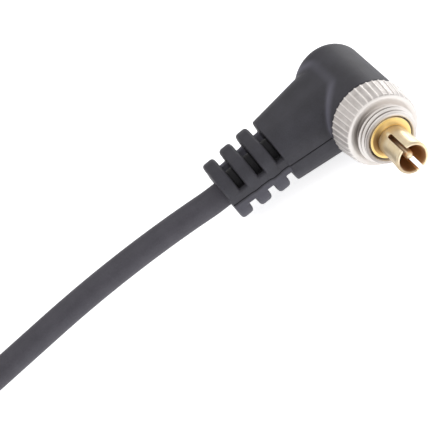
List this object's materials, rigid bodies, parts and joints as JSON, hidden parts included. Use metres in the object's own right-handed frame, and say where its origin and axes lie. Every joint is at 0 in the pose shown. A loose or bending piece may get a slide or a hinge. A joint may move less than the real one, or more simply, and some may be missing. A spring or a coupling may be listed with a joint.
{
  "type": "right-angle coaxial sync plug with cord",
  "caption": "Right-angle coaxial flash sync plug: split gilt contact and centre pin, knurled screw-lock collar that slides and turns, moulded head with ribbed strain relief, and flexing cord.",
  "frame": {"origin": "on the plug axis at the front face of the gilt flange, the face that seats against the socket", "axes": "+X along the plug axis towards its tip; the cord leaves the head towards -Y; +Z is the normal of the moulding's mirror plane"},
  "size_m": [0.0222, 0.0615, 0.0096],
  "materials": {
    "overmould": "fine-grained matte flexible moulding",
    "cord_jacket": "smooth satin flexible jacket",
    "premould": "as-moulded matte",
    "insulator": "turned satin",
    "gilt": "bright thin gold plate on turned brass",
    "nickel": "bright nickel plate on turned and knurled brass",
    "spring_steel": "oil-tempered",
    "tinned": "dull tin",
    "copper": "bare bright copper",
    "core_insulation": "natural translucent white"
  },
  "bodies": {
    "plug_head": {"overmould": "overmould", "inner_premould": "premould", "contact_body": "gilt", "outer_contact_sleeve": "gilt", "insulator_bush": "insulator", "centre_pin": "gilt", "ground_lug": "tinned", "shield_pigtail": "copper", "pin_solder_joint": "tinned", "ground_solder_joint": "tinned", "crimp_ferrule": "tinned", "cable_jacket_root": "cord_jacket", "cable_shield_root": "copper", "cable_insulation_root": "core_insulation", "cable_conductor_root": "copper"},
    "snap_ring": {"snap_ring": "spring_steel"},
    "lock_ring": {"lock_ring": "nickel"},
    "cord_1": {"cable_jacket_1": "cord_jacket", "cable_shield_1": "copper", "cable_insulation_1": "core_insulation", "cable_conductor_1": "copper"},
    "cord_2": {"cable_jacket_2": "cord_jacket", "cable_shield_2": "copper", "cable_insulation_2": "core_insulation", "cable_conductor_2": "copper"},
    "cord_3": {"cable_jacket_3": "cord_jacket", "cable_shield_3": "copper", "cable_insulation_3": "core_insulation", "cable_conductor_3": "copper"}
  },
  "joints": [
    {"name": "collar_slide", "type": "slide", "parent": "plug_head", "child": "snap_ring", "axis": [1, 0, 0], "range_m": [0, 0.0009]},
    {"name": "collar_spin", "type": "hinge", "parent": "snap_ring", "child": "lock_ring", "pos_m": [0, 0, 0], "axis": [1, 0, 0], "continuous": true},
    {"name": "cord_bend_1", "type": "hinge", "parent": "plug_head", "child": "cord_1", "pos_m": [-0.01228, -0.0266, 0], "axis": [0, 0, 1], "range_deg": [-12, 12]},
    {"name": "cord_bend_2", "type": "hinge", "parent": "cord_1", "child": "cord_2", "pos_m": [-0.0126, -0.03459, 0], "axis": [0, 0, 1], "range_deg": [-12, 12]},
    {"name": "cord_bend_3", "type": "hinge", "parent": "cord_2", "child": "cord_3", "pos_m": [-0.01226, -0.04258, 0], "axis": [0, 0, 1], "range_deg": [-12, 12]}
  ]
}
